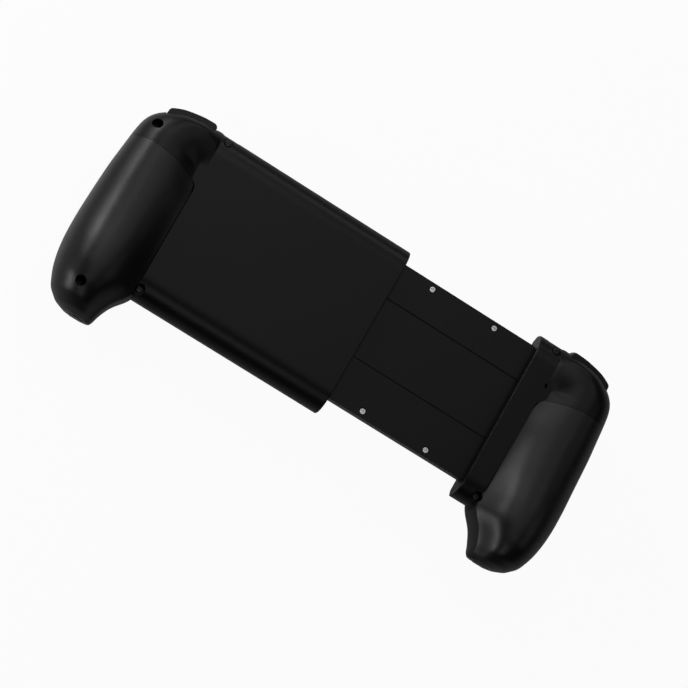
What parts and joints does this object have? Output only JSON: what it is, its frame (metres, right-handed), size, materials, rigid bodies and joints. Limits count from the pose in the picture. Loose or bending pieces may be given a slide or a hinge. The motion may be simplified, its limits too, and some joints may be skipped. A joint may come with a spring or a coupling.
{
  "type": "mobile game controller",
  "caption": "Telescopic game controller that clamps a phone between two contoured grips with sticks, triggers, bumpers and buttons; lies on its front, back up.",
  "frame": {"origin": "centre of the bounding box on the plane the stick caps rest on", "axes": "+X from the sleeve's unit to the tray's unit, +Y to the triggers, +Z out of the back"},
  "size_m": [0.2476, 0.1041, 0.0462],
  "materials": {
    "shell_plastic": "black, satin moulded surface with fine spark texture",
    "grip_skin": "black, smooth soft-touch coating with a satin sheen",
    "tray_plastic": "black, even satin",
    "frame_plastic": "black, plain matt",
    "control_plastic": "black, semi-gloss",
    "cap_rubber": "black, matt",
    "pad_rubber": "dark grey, matt",
    "silicone": "pale grey, translucent matt",
    "slider_plastic": "off-white acetal, waxy satin",
    "screw_steel": "bright zinc plating",
    "screw_black": "black oxide on a steel screw, satin",
    "plated_steel": "bright pressed sheet",
    "board_laminate": "dark green solder mask",
    "cell_foil": "plain silver foil pouch",
    "lens_plastic": "milky clear"
  },
  "bodies": {
    "main": {"main_back_shell": "shell_plastic", "right_front_shell": "shell_plastic", "right_grip_cover": "grip_skin", "phone_bed_panel": "frame_plastic", "phone_bed_pads": "pad_rubber", "slide_rails": "slider_plastic", "right_clamp_pad": "pad_rubber", "main_circuit_board": "board_laminate", "main_board_screws": "screw_steel", "main_shell_screws": "screw_black", "battery": "cell_foil", "charge_port": "plated_steel", "right_button_membrane": "silicone", "right_stick_housing": "plated_steel", "right_trigger_pin": "screw_steel"},
    "slider": {"tray_frame": "frame_plastic", "tray_back_cover": "tray_plastic", "tray_screws": "screw_steel", "left_back_shell": "shell_plastic", "left_front_shell": "shell_plastic", "left_grip_cover": "grip_skin", "left_clamp_pad": "pad_rubber", "left_circuit_board": "board_laminate", "left_board_screws": "screw_steel", "left_shell_screws": "screw_black", "left_button_membrane": "silicone", "cross_pad_base": "slider_plastic", "left_stick_housing": "plated_steel", "left_trigger_pin": "screw_steel", "indicator_lenses": "lens_plastic"},
    "left_stick_carrier": {"left_stick_carrier": "slider_plastic"},
    "left_stick_yoke": {"left_stick_yoke": "slider_plastic"},
    "left_stick": {"left_stick_post": "screw_steel", "left_stick_cap": "cap_rubber"},
    "left_bumper": {"left_bumper": "control_plastic"},
    "left_trigger": {"left_trigger": "control_plastic"},
    "left_inner_button": {"left_inner_button": "control_plastic"},
    "left_outer_button": {"left_outer_button": "control_plastic"},
    "right_stick_carrier": {"right_stick_carrier": "slider_plastic"},
    "right_stick_yoke": {"right_stick_yoke": "slider_plastic"},
    "right_stick": {"right_stick_post": "screw_steel", "right_stick_cap": "cap_rubber"},
    "right_bumper": {"right_bumper": "control_plastic"},
    "right_trigger": {"right_trigger": "control_plastic"},
    "right_inner_button": {"right_inner_button": "control_plastic"},
    "right_outer_button": {"right_outer_button": "control_plastic"},
    "face_button_bottom": {"face_button_bottom": "control_plastic"},
    "face_button_left": {"face_button_left": "control_plastic"},
    "face_button_right": {"face_button_right": "control_plastic"},
    "face_button_top": {"face_button_top": "control_plastic"},
    "cross_pad_rocker": {"cross_pad_rocker": "slider_plastic"},
    "cross_pad": {"cross_pad": "control_plastic"}
  },
  "joints": [
    {"name": "tray_slide", "type": "slide", "parent": "main", "child": "slider", "axis": [1, 0, 0], "range_m": [-0.0685, 0]},
    {"name": "left_stick_click", "type": "slide", "parent": "slider", "child": "left_stick_carrier", "axis": [0, 0, 1], "range_m": [0, 0.0005], "stiffness_N_per_m": 3000, "springref_m": -0.0008},
    {"name": "left_stick_tilt_x", "type": "hinge", "parent": "left_stick_carrier", "child": "left_stick_yoke", "pos_m": [0.102, 0.0037, 0.0144], "axis": [1, 0, 0], "range_deg": [-16, 16], "stiffness_Nm_per_rad": 0.08},
    {"name": "left_stick_tilt_y", "type": "hinge", "parent": "left_stick_yoke", "child": "left_stick", "pos_m": [0.102, 0.0037, 0.0144], "axis": [0, 1, 0], "range_deg": [-16, 16], "stiffness_Nm_per_rad": 0.08},
    {"name": "right_stick_click", "type": "slide", "parent": "main", "child": "right_stick_carrier", "axis": [0, 0, 1], "range_m": [0, 0.0005], "stiffness_N_per_m": 3000, "springref_m": -0.0008},
    {"name": "right_stick_tilt_x", "type": "hinge", "parent": "right_stick_carrier", "child": "right_stick_yoke", "pos_m": [-0.102, 0.0037, 0.0144], "axis": [1, 0, 0], "range_deg": [-16, 16], "stiffness_Nm_per_rad": 0.08},
    {"name": "right_stick_tilt_y", "type": "hinge", "parent": "right_stick_yoke", "child": "right_stick", "pos_m": [-0.102, 0.0037, 0.0144], "axis": [0, 1, 0], "range_deg": [-16, 16], "stiffness_Nm_per_rad": 0.08},
    {"name": "face_button_bottom_press", "type": "slide", "parent": "main", "child": "face_button_bottom", "axis": [0, 0, 1], "range_m": [0, 0.0012], "stiffness_N_per_m": 500, "springref_m": -0.001},
    {"name": "face_button_left_press", "type": "slide", "parent": "main", "child": "face_button_left", "axis": [0, 0, 1], "range_m": [0, 0.0012], "stiffness_N_per_m": 500, "springref_m": -0.001},
    {"name": "face_button_right_press", "type": "slide", "parent": "main", "child": "face_button_right", "axis": [0, 0, 1], "range_m": [0, 0.0012], "stiffness_N_per_m": 500, "springref_m": -0.001},
    {"name": "face_button_top_press", "type": "slide", "parent": "main", "child": "face_button_top", "axis": [0, 0, 1], "range_m": [0, 0.0012], "stiffness_N_per_m": 500, "springref_m": -0.001},
    {"name": "left_inner_press", "type": "slide", "parent": "slider", "child": "left_inner_button", "axis": [0, 0, 1], "range_m": [0, 0.0006], "stiffness_N_per_m": 500, "springref_m": -0.001},
    {"name": "left_outer_press", "type": "slide", "parent": "slider", "child": "left_outer_button", "axis": [0, 0, 1], "range_m": [0, 0.0006], "stiffness_N_per_m": 500, "springref_m": -0.001},
    {"name": "left_bumper_press", "type": "slide", "parent": "slider", "child": "left_bumper", "axis": [0, -1, 0], "range_m": [0, 0.0012], "stiffness_N_per_m": 700, "springref_m": -0.00086},
    {"name": "left_trigger_pull", "type": "hinge", "parent": "slider", "child": "left_trigger", "pos_m": [0.1005, 0.0433, 0.0194], "axis": [1, 0, 0], "range_deg": [0, 8], "stiffness_Nm_per_rad": 0.08, "springref_deg": -4.58},
    {"name": "right_inner_press", "type": "slide", "parent": "main", "child": "right_inner_button", "axis": [0, 0, 1], "range_m": [0, 0.0006], "stiffness_N_per_m": 500, "springref_m": -0.001},
    {"name": "right_outer_press", "type": "slide", "parent": "main", "child": "right_outer_button", "axis": [0, 0, 1], "range_m": [0, 0.0006], "stiffness_N_per_m": 500, "springref_m": -0.001},
    {"name": "right_bumper_press", "type": "slide", "parent": "main", "child": "right_bumper", "axis": [0, -1, 0], "range_m": [0, 0.0012], "stiffness_N_per_m": 700, "springref_m": -0.00086},
    {"name": "right_trigger_pull", "type": "hinge", "parent": "main", "child": "right_trigger", "pos_m": [-0.1005, 0.0433, 0.0194], "axis": [1, 0, 0], "range_deg": [0, 8], "stiffness_Nm_per_rad": 0.08, "springref_deg": -4.58},
    {"name": "cross_pad_tilt_x", "type": "hinge", "parent": "slider", "child": "cross_pad_rocker", "pos_m": [0.102, 0.0297, 0.0145], "axis": [1, 0, 0], "range_deg": [-3.5, 3.5], "stiffness_Nm_per_rad": 0.12},
    {"name": "cross_pad_tilt_y", "type": "hinge", "parent": "cross_pad_rocker", "child": "cross_pad", "pos_m": [0.102, 0.0297, 0.0145], "axis": [0, 1, 0], "range_deg": [-3.5, 3.5], "stiffness_Nm_per_rad": 0.12}
  ]
}
